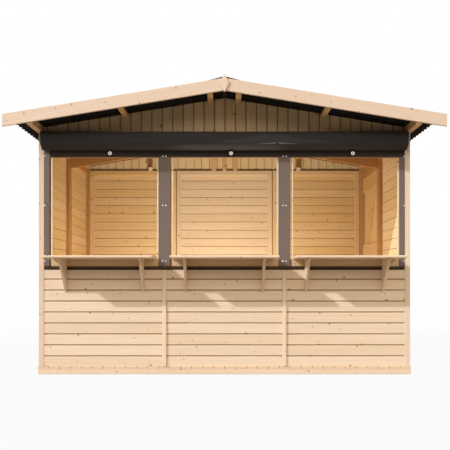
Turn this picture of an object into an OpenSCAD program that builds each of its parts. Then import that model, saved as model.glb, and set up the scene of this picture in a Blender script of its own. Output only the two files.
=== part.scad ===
// Wooden sales kiosk with a low gable roof: a counter front with three window
// openings and a shelf at each, a rolled-up weather cover above them, and a
// ledged door in the right side wall.
// Millimetres, +Z up. The front faces -Y. The origin is on the ground, in the
// middle of the building's outline.

/* [Building] */
// Width of the walls, outside to outside
body_w = 2940; // [2700:10:3400]
// Depth of the walls, from the front boards' face to the back boards' face
body_d = 1690; // [1600:10:2200]
// How far the floor reaches past the corner posts at the sides
floor_lip = 5; // [0:1:20]

/* [Base] */
// Height of the bearers under the floor
bearer_h = 41; // [30:1:100]
// Width of a bearer
bearer_w = 60; // [40:1:100]
// Number of bearers
bearer_count = 4; // [3:1:6]
// Thickness of the floor boards
floor_t = 20; // [16:1:30]

/* [Walls] */
// Thickness of the wall boards
board_t = 16; // [12:1:24]
// Depth of the side and back wall frames
frame_t = 30; // [25:1:60]
// Width of a stud or rail, seen square to the wall
stud_w = 45; // [35:1:60]
// Side of the square corner posts
corner_post = 42; // [36:1:60]
// How far a corner post stands out past the boards
corner_proud = 3; // [1:1:8]
// Gap between neighbouring wall panels
panel_gap = 4; // [2:1:8]
// Distance of the back wall's panel joints from the middle
back_joint_x = 507; // [400:1:600]
// Depth of the front side panels, from the front boards' face
side_joint = 826; // [780:1:900]
// Width of the battens that cover the panel joints
joint_batten_w = 30; // [20:1:60]
// Thickness of the battens that cover the panel joints
joint_batten_t = 12; // [8:1:16]

/* [Counter and windows] */
// Height of the counter wall's boards above the floor boards
counter_h = 765; // [700:1:900]
// Height of the sill rail on the counter wall
sill_rail_h = 85; // [60:1:100]
// Depth of the counter and window frames
front_frame_t = 40; // [30:1:60]
// Thickness of the dark facing round the windows
facing_t = 20; // [18:1:30]
// Height of the facing below the windows
sill_facing_h = 30; // [20:1:50]
// Height of the openings in the facing
window_h = 861; // [700:1:1000]
// Distance of the posts between the windows from the middle
mullion_x = 475; // [440:1:520]
// Width of the facing on a post between the windows
mullion_w = 104; // [100:1:140]
// Width of the facing beside the outer windows
side_facing_w = 56; // [50:1:80]
// Height of the facing above the windows, up to the top of the walls
header_h = 186; // [150:1:260]
// How far the rail above the windows stands back from the facing's edge
header_reveal = 6; // [0:1:15]
// Radius of the openings' corners in the facing
facing_corner_r = 10; // [4:1:20]

/* [Shelves] */
// Gap between a shelf's ends and the facing beside its window
shelf_gap = 15; // [2:1:60]
// Distance from the board face to the shelf's front edge
shelf_reach = 310; // [200:1:315]
// Thickness of a shelf
shelf_t = 18; // [16:1:30]
// Distance between a shelf's two brackets
bracket_spacing = 610; // [400:1:700]
// Thickness of a bracket
bracket_t = 18; // [16:1:30]
// Height of a bracket
bracket_h = 261; // [200:1:320]
// Depth of a bracket, from the board face to its nose
bracket_depth = 288; // [200:1:295]
// Width of a bracket's foot
bracket_foot = 26; // [20:1:50]
// Height of a bracket's front end
bracket_nose = 10; // [8:1:30]
// Depth of a bracket where its slope turns into the nose
bracket_waist = 168; // [120:1:180]
// Height of a bracket where its slope turns into the nose
bracket_waist_h = 60; // [40:1:90]

/* [Rolled cover] */
// How far the rolled cover reaches past the facing at each end
cover_lap = 2; // [0:1:10]
// Gap between the rolled cover and the top of the walls
cover_gap = 1; // [0:1:10]
// Height of the rolled cover
cover_h = 140; // [100:1:170]
// Depth of the rolled cover
cover_d = 101; // [80:1:140]
// Height of the fold in its front above its foot
cover_fold_h = 41; // [20:1:60]
// How far its foot stands back from the fold
cover_fold_d = 52; // [30:1:70]
// Radius of its upper front edge
cover_top_r = 14; // [5:1:30]

/* [Roof] */
// Angle of the roof
roof_angle = 9.19; // [7:0.01:14]
// Reach of the roof past the front boards
front_overhang = 321; // [250:1:400]
// Reach of the roof past the back boards
rear_overhang = 249; // [150:1:400]
// Reach of the roof sheets past the side walls
eave_overhang = 120; // [80:1:200]
// Height of the eave purlins at their outer face
eave_purlin_h = 48; // [40:1:80]
// Width of the eave purlins
eave_purlin_w = 45; // [35:1:60]
// Width of the other purlins
purlin_w = 42; // [30:1:60]
// Height of the other purlins
purlin_h = 34; // [30:1:60]
// Distance of the ridge purlins from the middle
ridge_purlin_x = 112; // [80:1:150]
// Distance of the middle purlins from the middle
middle_purlin_x = 782; // [700:1:900]
// Height of the rafters under the purlins
rafter_h = 145; // [80:1:160]
// Thickness of the rafters
rafter_t = 30; // [20:1:45]
// Width of the short posts inside the gables
gable_post_w = 41; // [35:1:45]
// Spacing of the waves in the roof sheets
wave_pitch = 69.5; // [60:0.5:80]
// Height of the waves
wave_h = 18; // [12:1:24]
// Thickness of a roof sheet
sheet_t = 3; // [2:0.5:4]
// Distance of a roof sheet's upper edge from the ridge
sheet_ridge_gap = 12; // [5:1:30]
// Reach of the ridge cap to each side
cap_reach = 155; // [120:1:200]
// Height of the ridge cap above the sheets' underside at the ridge
cap_h = 73; // [66:1:90]
// Height of the ridge cap above the sheets' underside at its edges
cap_edge_h = 57; // [50:1:66]
// Thickness of the ridge cap
cap_t = 2.5; // [2:0.5:4]

/* [Bargeboards] */
// Height of a bargeboard
barge_h = 92; // [80:1:120]
// Thickness of a bargeboard
barge_t = 18; // [15:1:25]
// How far a bargeboard hangs below the roof sheets
barge_drop = 38; // [36:1:50]
// How far a bargeboard reaches past the roof sheets
barge_reach = 59; // [10:1:80]
// Width of the pointed plate at the ridge
apex_plate_w = 68; // [50:1:90]
// Height of the pointed plate at the ridge
apex_plate_h = 138; // [110:1:150]
// Thickness of the pointed plate at the ridge
apex_plate_t = 12; // [8:1:20]
// How far the pointed plate's middle lies above the bargeboards' middle
apex_plate_rise = 6; // [0:1:15]

/* [Door] */
// Width of the boards between the door and the rear corner post
door_side_w = 104; // [100:1:200]
// Height of the boards over the door
over_door_h = 85; // [80:1:300]
// How far the leaf covers each door post
door_lap = 10; // [8:1:12]
// Gap between the leaf and the boards round it
door_gap = 6; // [6:0.5:8]
// Gap between the leaf's back and the door posts
door_seat = 5; // [5:0.5:8]
// Gap between the floor boards and the leaf
door_floor_gap = 8; // [6:1:20]
// Height of a door ledge
ledge_h = 150; // [90:1:160]
// Height of the lowest ledge above the leaf's foot
low_ledge_z = 61; // [30:1:120]
// Height of the middle ledge above the leaf's foot
middle_ledge_z = 891; // [700:1:1000]
// Distance of the highest ledge from the leaf's top
top_ledge_gap = 17; // [16:1:60]
// Gap between a ledge's ends and the door posts
ledge_inset = 10; // [8:1:20]
// Thickness of the ledges and braces
ledge_t = 20; // [16:1:22]
// Width of a brace, measured level
brace_w = 76; // [60:1:100]
// Distance of a brace's foot from the ledges' hinge end
brace_foot = 92; // [0:1:120]
// Distance of a brace's head from the ledges' free end
brace_head = 133; // [0:1:160]
// Height of the handle's foot above the leaf's foot
handle_z = 900; // [800:1:1100]
// Distance of the handle from the leaf's free edge
handle_inset = 50; // [35:1:80]
// Height of the handle
handle_h = 120; // [90:1:200]
// How far the handle stands out from the leaf
handle_reach = 32; // [28:1:50]
// Thickness of the handle's bar
handle_bar = 10; // [8:1:16]
// Height of the lower hinge strap above the leaf's foot
low_hinge_z = 135; // [100:1:250]
// Distance of the upper hinge strap's foot from the leaf's top
top_hinge_gap = 92; // [80:1:250]
// Length of a hinge strap on the leaf
strap_l = 300; // [200:1:450]
// Height of a hinge strap at the pin
strap_h = 38; // [30:1:50]
// Height of a hinge strap at its far end
strap_end_h = 16; // [10:1:30]
// Thickness of the hinge iron
strap_t = 3; // [2.5:0.5:4]
// Height of the hinge plates
plate_h = 100; // [70:1:140]
// Width of the hinge plates
plate_w = 40; // [30:1:50]
// Height of the knuckle that carries a hinge pin
knuckle_h = 30; // [20:1:40]
// How far a hinge pin stands out above its strap
pin_stand = 3; // [1:1:8]
// Radius of a hinge pin
pin_r = 4; // [3:0.5:5]
// Radius of a hinge knuckle
knuckle_r = 7; // [7:0.5:10]

/* [Hidden] */

// Gap left where one timber butts another, so that each stays a piece of its own
fit = 0.3;
// Room round a purlin where it passes through the gable boards
notch_gap = 1;
// Gap between the gable boards and the roof sheets
gable_gap = 3;
// Gap between the ridge cap's edges and the crests that they stand on
cap_seat = 0.1;
// Gap between a hinge strap's eye and the knuckle under it
knuckle_gap = 0.5;
// Play of a hinge pin in its eye
pin_play = 0.05;
// Gap between a hinge plate and the strap's eye
plate_gap = 2;
// How far a cut runs past the faces that it opens
overcut = 1;

// Colours
timber = "#e8caa6";
inner_timber = "#d3a46c";
dark_facing = "#4a443f";
cover_black = "#2f2a27";
roofing = "#26211f";
iron = "#5b5a57";

// Levels
floor_z = bearer_h + floor_t;
counter_z = floor_z + counter_h;
window_z = counter_z + sill_facing_h;
window_top = window_z + window_h;
wall_top = window_top + header_h;
rail_z = counter_z + sill_rail_h;

// Planes of the walls
half_w = body_w / 2;
half_roof_d = (front_overhang + body_d + rear_overhang) / 2;
y_face = front_overhang - half_roof_d;
y_back = y_face + body_d;
y_facing = y_face + board_t - facing_t;
y_front_frame = y_face + board_t;
y_inside_front = y_front_frame + front_frame_t;
y_back_frame = y_back - board_t - frame_t;
x_side = half_w - corner_proud;
x_side_frame = x_side - board_t;
x_inside = x_side_frame - frame_t;
x_corner = half_w - corner_post;
y_corner_front = y_face - corner_proud + corner_post;
y_corner_back = y_back + corner_proud - corner_post;
y_joint = y_face + side_joint;

// Roof planes: the sheets' underside falls from the ridge to both sides
roof_slope = tan(roof_angle);
ridge_z = wall_top + eave_purlin_h + half_w * roof_slope;
half_sheet_w = half_w + eave_overhang;
half_barge_w = half_sheet_w + barge_reach;
half_inner_d = half_roof_d - barge_t;
function underside(x) = ridge_z - abs(x) * roof_slope;
function purlin_low(x) = underside(x) - purlin_h / cos(roof_angle);

// The door stands in the rear side panel, in front of the rear door post
stud_front_y = y_joint + panel_gap / 2;
door_y0 = stud_front_y + stud_w;
leaf_y = [door_y0 - door_lap, y_corner_back - door_side_w - door_gap];
door_y1 = leaf_y[1] - door_lap;
leaf_z = [floor_z + door_floor_gap, wall_top - over_door_h - door_gap];
leaf_x = [x_side_frame + door_seat, x_side_frame + door_seat + board_t];
lintel_z = leaf_z[1] - door_lap;
hinge_x = leaf_x[1] + knuckle_r;
hinge_y = leaf_y[1] + door_gap / 2;
hinge_zs = [leaf_z[0] + low_hinge_z, leaf_z[1] - top_hinge_gap];
ledge_zs = [leaf_z[0] + low_ledge_z, leaf_z[0] + middle_ledge_z, leaf_z[1] - ledge_h - top_ledge_gap];

// The openings in the facing, from left to right
mullion_edge = mullion_x + mullion_w / 2;
side_edge = x_corner - side_facing_w;
windows = [
    [-side_edge, -mullion_edge],
    [mullion_w / 2 - mullion_x, mullion_x - mullion_w / 2],
    [mullion_edge, side_edge]
];

// A block between two corners, given as a range along each axis
module block(x, y, z) {
    translate([x[0], y[0], z[0]]) cube([x[1] - x[0], y[1] - y[0], z[1] - z[0]]);
}

// An outline in X and Z, extruded along Y
module along_y(y) {
    translate([0, y[1], 0]) rotate([90, 0, 0]) linear_extrude(y[1] - y[0]) children();
}

// An outline in Y and Z, extruded along X
module along_x(x) {
    translate([x[0], 0, 0]) rotate([90, 0, 90]) linear_extrude(x[1] - x[0]) children();
}

module both_sides() {
    children();
    mirror([1, 0, 0]) children();
}

// A panel's frame along X: two rails with a stud at each end between them
module frame_along_x(x, y, z) {
    block(x, y, [z[0], z[0] + stud_w]);
    block(x, y, [z[1] - stud_w, z[1]]);
    for (edge = [x[0], x[1] - stud_w])
        block([edge, edge + stud_w], y, [z[0] + stud_w + fit, z[1] - stud_w - fit]);
}

// The same along Y
module frame_along_y(x, y, z) {
    block(x, y, [z[0], z[0] + stud_w]);
    block(x, y, [z[1] - stud_w, z[1]]);
    for (edge = [y[0], y[1] - stud_w])
        block(x, [edge, edge + stud_w], [z[0] + stud_w + fit, z[1] - stud_w - fit]);
}

function front_panel(i) = [
    [-x_corner, -mullion_x - panel_gap / 2],
    [-mullion_x + panel_gap / 2, mullion_x - panel_gap / 2],
    [mullion_x + panel_gap / 2, x_corner]
][i];

function back_panel(i) = [
    [-x_corner, -back_joint_x - panel_gap / 2],
    [-back_joint_x + panel_gap / 2, back_joint_x - panel_gap / 2],
    [back_joint_x + panel_gap / 2, x_corner]
][i];

// Base

module floor_bearers() {
    color(timber)
    for (i = [0 : bearer_count - 1]) {
        y0 = y_face - floor_lip + i * (body_d + 2 * floor_lip - bearer_w) / (bearer_count - 1);
        block([-half_w - floor_lip, half_w + floor_lip], [y0, y0 + bearer_w], [0, bearer_h]);
    }
}

module floor_boards() {
    color(timber)
    block([-half_w - floor_lip, half_w + floor_lip], [y_face - floor_lip, y_back + floor_lip],
          [bearer_h, floor_z]);
}

// Front wall

module counter_boards(i) {
    color(timber)
    block(front_panel(i), [y_face, y_face + board_t], [floor_z, counter_z]);
}

module counter_boards_left() { counter_boards(0); }
module counter_boards_middle() { counter_boards(1); }
module counter_boards_right() { counter_boards(2); }

module counter_frame() {
    color(inner_timber)
    for (i = [0 : 2])
        frame_along_x(front_panel(i), [y_front_frame, y_inside_front], [floor_z, counter_z - fit]);
}

module window_frame() {
    y = [y_front_frame, y_inside_front];
    color(inner_timber)
    for (i = [0 : 2]) {
        x = front_panel(i);
        block(x, y, [counter_z, rail_z]);
        block(x, y, [wall_top - stud_w, wall_top]);
        for (edge = [x[0], x[1] - stud_w])
            block([edge, edge + stud_w], y, [rail_z + fit, wall_top - stud_w - fit]);
        low = window_top + header_reveal;
        block([x[0] + stud_w + fit, x[1] - stud_w - fit], y, [low, low + stud_w]);
    }
}

module window_sill_facing() {
    color(dark_facing)
    block([-x_corner, x_corner], [y_facing, y_front_frame], [counter_z, window_z]);
}

// A round corner of an opening at [x, z], on side sx of the post and side sz of the rail
function round_corner(x, z, sx, sz, turn) = [
    for (i = [0 : 6]) let (a = turn > 0 ? 15 * i : 90 - 15 * i)
        [x + sx * facing_corner_r * (1 - sin(a)), z + sz * facing_corner_r * (1 - cos(a))]
];

module window_post_facings() {
    x0 = mullion_x - mullion_w / 2;
    color(dark_facing)
    both_sides() along_y([y_facing, y_front_frame]) {
        polygon(concat(
            round_corner(x0, window_z, -1, 1, 1), round_corner(x0, window_top, -1, -1, -1),
            round_corner(mullion_edge, window_top, 1, -1, 1), round_corner(mullion_edge, window_z, 1, 1, -1)
        ));
        polygon(concat(
            round_corner(side_edge, window_z, -1, 1, 1), round_corner(side_edge, window_top, -1, -1, -1),
            [[x_corner, window_top], [x_corner, window_z]]
        ));
    }
}

module window_header_facing() {
    color(dark_facing)
    block([-x_corner, x_corner], [y_facing, y_front_frame], [window_top, wall_top]);
}

// The cover is rolled up tight, flat in front, with a fold above its foot
module rolled_cover() {
    top = wall_top - cover_gap;
    low = top - cover_h;
    front = y_facing - cover_d;
    outline = [
        [y_facing, low],
        [y_facing, top],
        for (a = [0 : 15 : 90])
            [front + cover_top_r - cover_top_r * sin(a), top - cover_top_r + cover_top_r * cos(a)],
        [front, low + cover_fold_h],
        [front + cover_fold_d, low]
    ];
    color(cover_black)
    along_x([-x_corner - cover_lap, x_corner + cover_lap]) polygon(outline);
}

// Battens over the joints between panels, outside
module panel_joint_battens() {
    half = joint_batten_w / 2;
    color(timber)
    both_sides() {
        block([mullion_x - half, mullion_x + half], [y_face - joint_batten_t, y_face], [floor_z, counter_z]);
        block([back_joint_x - half, back_joint_x + half], [y_back, y_back + joint_batten_t],
              [floor_z, wall_top]);
        block([x_side, x_side + joint_batten_t], [y_joint - half, y_joint + half], [floor_z, wall_top]);
    }
}

module corner_posts() {
    color(timber)
    both_sides() {
        block([x_corner, half_w], [y_face - corner_proud, y_corner_front], [floor_z, wall_top]);
        block([x_corner, half_w], [y_corner_back, y_back + corner_proud], [floor_z, wall_top]);
    }
}

// Side walls

module left_boards_front() {
    color(timber)
    block([-x_side, -x_side_frame], [y_corner_front, y_joint - panel_gap / 2], [floor_z, wall_top]);
}

module left_boards_rear() {
    color(timber)
    block([-x_side, -x_side_frame], [y_joint + panel_gap / 2, y_corner_back], [floor_z, wall_top]);
}

module left_wall_frame() {
    x = [-x_side_frame, -x_inside];
    color(inner_timber) {
        frame_along_y(x, [y_inside_front, y_joint - panel_gap / 2], [floor_z, wall_top]);
        frame_along_y(x, [y_joint + panel_gap / 2, y_back_frame], [floor_z, wall_top]);
    }
}

module right_boards_front() {
    color(timber)
    block([x_side_frame, x_side], [y_corner_front, y_joint - panel_gap / 2], [floor_z, wall_top]);
}

module right_boards_beside_door() {
    z = [floor_z, leaf_z[1] + door_gap - fit];
    color(timber) {
        block([x_side_frame, x_side], [y_joint + panel_gap / 2, leaf_y[0] - door_gap], z);
        block([x_side_frame, x_side], [leaf_y[1] + door_gap, y_corner_back], z);
    }
}

module right_boards_over_door() {
    color(timber)
    block([x_side_frame, x_side], [y_joint + panel_gap / 2, y_corner_back],
          [leaf_z[1] + door_gap, wall_top]);
}

// The rear panel's frame is open down to the floor between the door posts
module right_wall_frame() {
    x = [x_inside, x_side_frame];
    rail_low = wall_top - stud_w;
    color(inner_timber) {
        frame_along_y(x, [y_inside_front, y_joint - panel_gap / 2], [floor_z, wall_top]);
        block(x, [stud_front_y, y_back_frame], [rail_low, wall_top]);
        for (y0 = [stud_front_y, door_y1, y_back_frame - stud_w])
            block(x, [y0, y0 + stud_w], [floor_z, rail_low - fit]);
        block(x, [door_y0 + fit, door_y1 - fit], [lintel_z, rail_low - fit]);
    }
}

// Back wall

module back_boards(i) {
    color(timber)
    block(back_panel(i), [y_back - board_t, y_back], [floor_z, wall_top]);
}

module back_boards_left() { back_boards(0); }
module back_boards_middle() { back_boards(1); }
module back_boards_right() { back_boards(2); }

module back_wall_frame() {
    color(inner_timber)
    for (i = [0 : 2])
        frame_along_x(back_panel(i), [y_back_frame, y_back - board_t], [floor_z, wall_top]);
}

// Roof

// A purlin's section: its top lies on the roof plane, square to the slope
module purlin_section(x, grow = 0) {
    translate([x, underside(x)]) rotate(-roof_angle)
        translate([-purlin_w / 2 - grow, -purlin_h - grow])
            square([purlin_w + 2 * grow, purlin_h + 2 * grow]);
}

module gable_boards(y) {
    x = half_w - eave_purlin_w;
    shoulder = underside(x) - gable_gap;
    color(timber)
    along_y(y) difference() {
        polygon([[-x, wall_top], [x, wall_top], [x, shoulder], [0, ridge_z - gable_gap], [-x, shoulder]]);
        both_sides() for (at = [ridge_purlin_x, middle_purlin_x]) purlin_section(at, notch_gap);
    }
}

module front_gable_boards() { gable_boards([y_face, y_face + board_t]); }
module rear_gable_boards() { gable_boards([y_back - board_t, y_back]); }

// Short posts inside each gable: one under each ridge purlin and one in the middle
module gable_posts() {
    half = gable_post_w / 2;
    color(inner_timber)
    for (y = [[y_front_frame, y_front_frame + frame_t], [y_back_frame, y_back - board_t]]) {
        both_sides()
            block([ridge_purlin_x - half, ridge_purlin_x + half], y,
                  [wall_top, purlin_low(ridge_purlin_x + half) - fit]);
        block([-half, half], y, [wall_top, underside(half) - gable_gap]);
    }
}

module eave_purlins() {
    x0 = half_w - eave_purlin_w;
    color(inner_timber)
    both_sides() along_y([-half_inner_d, half_inner_d])
        polygon([[x0, wall_top], [half_w, wall_top], [half_w, underside(half_w)], [x0, underside(x0)]]);
}

module middle_purlins() {
    color(inner_timber)
    both_sides() along_y([-half_inner_d, half_inner_d]) purlin_section(middle_purlin_x);
}

module ridge_purlins() {
    color(inner_timber)
    both_sides() along_y([-half_inner_d, half_inner_d]) purlin_section(ridge_purlin_x);
}

// A pair of rafters over the middle of the side walls, mitred at the ridge
module middle_rafters() {
    color(inner_timber)
    both_sides() along_y([y_joint - rafter_t / 2, y_joint + rafter_t / 2])
        polygon([
            [fit, purlin_low(fit) - fit],
            [x_inside, purlin_low(x_inside) - fit],
            [x_inside, purlin_low(x_inside) - fit - rafter_h],
            [fit, purlin_low(fit) - fit - rafter_h]
        ]);
}

wave_count = round(2 * half_inner_d / wave_pitch);
wave_steps = 8;
function wave_y(i) = -half_inner_d + i * 2 * half_inner_d / (wave_count * wave_steps);
function wave_z(i) = wave_h / 2 * (1 - cos(360 * i / wave_steps));

// One corrugated sheet: its wave, worked out along Y, runs down the slope
module roof_sheet() {
    steps = wave_count * wave_steps;
    color(roofing)
    translate([0, 0, ridge_z]) rotate([0, roof_angle, 0])
        along_x([sheet_ridge_gap, half_sheet_w / cos(roof_angle)])
            polygon([
                for (i = [0 : steps]) [wave_y(i), wave_z(i)],
                for (i = [steps : -1 : 0]) [wave_y(i), wave_z(i) + sheet_t]
            ]);
}

module roof_sheet_left() { mirror([1, 0, 0]) roof_sheet(); }
module roof_sheet_right() { roof_sheet(); }

// A folded cap whose turned-down edges stand on the waves
module ridge_cap() {
    crest = wave_h + sheet_t;
    edge_low = underside(cap_reach) + crest / cos(roof_angle) + cap_seat;
    edge_top = underside(cap_reach) + cap_edge_h;
    top = ridge_z + cap_h;
    color(roofing)
    along_y([-half_inner_d, half_inner_d])
        polygon([
            [-cap_reach - cap_t, edge_low], [-cap_reach - cap_t, edge_top], [0, top],
            [cap_reach + cap_t, edge_top], [cap_reach + cap_t, edge_low],
            [cap_reach, edge_low], [cap_reach, edge_top - cap_t], [0, top - cap_t],
            [-cap_reach, edge_top - cap_t], [-cap_reach, edge_low]
        ]);
}

// Bargeboards, cut plumb at the ridge and at their ends
module bargeboard(y) {
    low = ridge_z - barge_drop;
    color(timber)
    along_y(y)
        polygon([
            [0, low], [half_barge_w, low - half_barge_w * roof_slope],
            [half_barge_w, low + barge_h - half_barge_w * roof_slope], [0, low + barge_h]
        ]);
}

module front_bargeboard_right() { bargeboard([-half_roof_d, -half_inner_d]); }
module front_bargeboard_left() { mirror([1, 0, 0]) bargeboard([-half_roof_d, -half_inner_d]); }
module rear_bargeboard_right() { bargeboard([half_inner_d, half_roof_d]); }
module rear_bargeboard_left() { mirror([1, 0, 0]) bargeboard([half_inner_d, half_roof_d]); }

// Pointed plates over the joint of the bargeboards
module apex_plates() {
    middle = ridge_z - barge_drop + barge_h / 2 + apex_plate_rise;
    color(timber)
    for (y = [[-half_roof_d - apex_plate_t, -half_roof_d], [half_roof_d, half_roof_d + apex_plate_t]])
        along_y(y)
            polygon([
                [0, middle - apex_plate_h / 2], [apex_plate_w / 2, middle],
                [0, middle + apex_plate_h / 2], [-apex_plate_w / 2, middle]
            ]);
}

// Shelves

module shelf(x) {
    color(timber)
    block([x[0] + shelf_gap, x[1] - shelf_gap], [y_face - shelf_reach, y_inside_front],
          [rail_z, rail_z + shelf_t]);
}

module shelf_left() { shelf(windows[0]); }
module shelf_middle() { shelf(windows[1]); }
module shelf_right() { shelf(windows[2]); }

// A bracket slopes out from its foot, then hollows into a thin nose under the shelf
module bracket_outline() {
    low = rail_z - bracket_h;
    waist = [y_face - bracket_waist, rail_z - bracket_waist_h];
    hollow = [y_face - bracket_waist, rail_z - bracket_nose];
    nose = [y_face - bracket_depth, rail_z - bracket_nose];
    polygon([
        [y_face, low],
        [y_face - bracket_foot, low],
        for (t = [0 : 0.125 : 1]) (1 - t) * (1 - t) * waist + 2 * t * (1 - t) * hollow + t * t * nose,
        [y_face - bracket_depth, rail_z],
        [y_facing, rail_z],
        [y_facing, counter_z],
        [y_face, counter_z]
    ]);
}

module shelf_brackets() {
    color(timber)
    for (x = windows, side = [-1, 1]) {
        at = (x[0] + x[1] + side * bracket_spacing) / 2;
        along_x([at - bracket_t / 2, at + bracket_t / 2]) bracket_outline();
    }
}

// Door

module door_boards() {
    color(timber) block(leaf_x, leaf_y, leaf_z);
}

module door_ledges() {
    x = [leaf_x[0] - ledge_t, leaf_x[0]];
    front = door_y0 + ledge_inset;
    rear = door_y1 - ledge_inset;
    color(inner_timber) {
        for (z = ledge_zs) block(x, [front, rear], [z, z + ledge_h]);
        for (i = [0, 1]) {
            low = ledge_zs[i] + ledge_h + fit;
            high = ledge_zs[i + 1] - fit;
            along_x(x) polygon([
                [rear - brace_foot - brace_w, low], [rear - brace_foot, low],
                [front + brace_head + brace_w, high], [front + brace_head, high]
            ]);
        }
    }
}

// A plain bow handle near the leaf's free edge
module door_handle() {
    y = leaf_y[0] + handle_inset;
    z = leaf_z[0] + handle_z;
    half = handle_bar / 2;
    color(iron)
    difference() {
        block([leaf_x[1], leaf_x[1] + handle_reach], [y - half, y + half], [z, z + handle_h]);
        block([leaf_x[1] - overcut, leaf_x[1] + handle_reach - handle_bar], [y - half - overcut, y + half + overcut],
              [z + handle_bar, z + handle_h - handle_bar]);
    }
}

// Straps on the leaf, each with an eye that turns on its pin
module door_hinge_straps() {
    middle = strap_h / 2;
    end = strap_end_h / 2;
    color(iron)
    for (z = hinge_zs)
        difference() {
            union() {
                translate([hinge_x, hinge_y, z]) cylinder(r = knuckle_r, h = strap_h, $fn = 48);
                along_x([leaf_x[1], leaf_x[1] + strap_t])
                    polygon([
                        [hinge_y, z], [hinge_y, z + strap_h],
                        [hinge_y - strap_l, z + middle + end], [hinge_y - strap_l, z + middle - end]
                    ]);
            }
            translate([hinge_x, hinge_y, z - overcut])
                cylinder(r = pin_r + pin_play, h = strap_h + 2 * overcut, $fn = 48);
        }
}

// Plates on the boards beside the door, each with a knuckle below and a pin
module door_hinge_plates() {
    edge = hinge_y + knuckle_r + plate_gap;
    pin_h = knuckle_h + knuckle_gap + strap_h + pin_stand;
    color(iron)
    for (z = hinge_zs) {
        low = z - knuckle_gap - knuckle_h;
        block([x_side, x_side + strap_t], [edge, edge + plate_w], [low, low + plate_h]);
        block([x_side, hinge_x], [hinge_y + pin_r, edge + 2 * strap_t], [low, low + knuckle_h]);
        translate([hinge_x, hinge_y, low]) {
            cylinder(r = knuckle_r, h = knuckle_h, $fn = 48);
            cylinder(r = pin_r, h = pin_h, $fn = 48);
        }
    }
}

floor_bearers();
floor_boards();
counter_boards_left();
counter_boards_middle();
counter_boards_right();
counter_frame();
window_frame();
window_sill_facing();
window_post_facings();
window_header_facing();
rolled_cover();
panel_joint_battens();
corner_posts();
left_boards_front();
left_boards_rear();
left_wall_frame();
right_boards_front();
right_boards_beside_door();
right_boards_over_door();
right_wall_frame();
back_boards_left();
back_boards_middle();
back_boards_right();
back_wall_frame();
front_gable_boards();
rear_gable_boards();
gable_posts();
eave_purlins();
middle_purlins();
ridge_purlins();
middle_rafters();
roof_sheet_left();
roof_sheet_right();
ridge_cap();
front_bargeboard_left();
front_bargeboard_right();
rear_bargeboard_left();
rear_bargeboard_right();
apex_plates();
shelf_left();
shelf_middle();
shelf_right();
shelf_brackets();
door_boards();
door_ledges();
door_handle();
door_hinge_straps();
door_hinge_plates();
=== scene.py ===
# %% [markdown]
# # A wooden sales kiosk
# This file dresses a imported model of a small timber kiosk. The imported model, called the
# frame, holds every real size. Blender adds what the eye looks for: single boards, grain
# and knots, painted and coated finishes, and small fasteners at their true size.

# %% Load the frame and measure it
import itertools
import math
import random

import bmesh
import bpy
from mathutils import Matrix, Vector


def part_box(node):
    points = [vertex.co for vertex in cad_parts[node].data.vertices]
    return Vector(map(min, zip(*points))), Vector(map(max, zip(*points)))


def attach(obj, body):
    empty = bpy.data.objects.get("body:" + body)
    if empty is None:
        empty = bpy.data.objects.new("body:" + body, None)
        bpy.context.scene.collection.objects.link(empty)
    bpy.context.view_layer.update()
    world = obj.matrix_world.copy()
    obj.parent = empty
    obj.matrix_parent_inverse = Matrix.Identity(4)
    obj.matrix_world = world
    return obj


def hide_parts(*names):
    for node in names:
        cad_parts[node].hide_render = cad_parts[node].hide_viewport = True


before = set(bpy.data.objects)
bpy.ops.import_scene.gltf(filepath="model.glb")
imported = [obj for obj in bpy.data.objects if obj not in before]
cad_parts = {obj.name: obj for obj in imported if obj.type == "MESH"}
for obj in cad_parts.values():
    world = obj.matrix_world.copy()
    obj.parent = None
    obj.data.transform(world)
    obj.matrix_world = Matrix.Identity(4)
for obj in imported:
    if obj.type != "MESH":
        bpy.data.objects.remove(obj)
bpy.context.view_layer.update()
MM = 0.001
X, Y, Z = Vector((1, 0, 0)), Vector((0, 1, 0)), Vector((0, 0, 1))

# %% [markdown]
# ## Camera
# The photograph was taken straight from the front, with the lens a little below the
# shelves. Its vanishing point gives the height, and the shift moves the picture without
# tilting the walls, as an architect's lens does.

# %% Camera
def add_object(name, data, **settings):
    """Sets values of some data, such as a lamp's, and puts it into the scene as an object."""
    for key, value in settings.items():
        setattr(data, key, value)
    thing = bpy.data.objects.new(name, data)
    bpy.context.scene.collection.objects.link(thing)
    return thing


CAMERA_AT, LENS, SHIFT = (0, -5.719, 0.742), 49.6, (0.0013, 0.1233)
camera = add_object("camera", bpy.data.cameras.new("camera"), sensor_width=36, lens=LENS,
                    shift_x=SHIFT[0], shift_y=SHIFT[1])
camera.location = CAMERA_AT
camera.rotation_euler = (math.radians(90), 0, 0)
bpy.context.scene.camera = camera
bpy.context.scene.view_settings.view_transform = "Standard"

# %% [markdown]
# ## Light
# Late morning sun comes from the left and from above, so the roof and the shelves throw
# their shadows to the right. A soft ring of sky, brightest a little over 20 degrees up, lights
# every side alike and leaves the places under the roof and the shelves darker. The camera,
# and whatever mirrors, sees plain white instead.

# %% Colour and node helpers
def linear(hex_colour):
    """The linear values of an sRGB hex colour, with an alpha of 1."""
    channels = [int(hex_colour[i:i + 2], 16) / 255 for i in (1, 3, 5)]
    return [c / 12.92 if c <= 0.04045 else ((c + 0.055) / 1.055) ** 2.4 for c in channels] + [1.0]


def add_node(tree, kind, inputs=None, **settings):
    """Adds a shader node, sets it up, and fills its inputs with values, sockets or nodes."""
    node = tree.nodes.new(kind)
    for key, value in settings.items():
        setattr(node, key, value)
    for key, value in (inputs or {}).items():
        if isinstance(value, bpy.types.Node):
            value = next(socket for socket in value.outputs if socket.enabled)
        if isinstance(value, bpy.types.NodeSocket):
            tree.links.new(value, node.inputs[key])
        else:
            node.inputs[key].default_value = value
    return node


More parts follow.
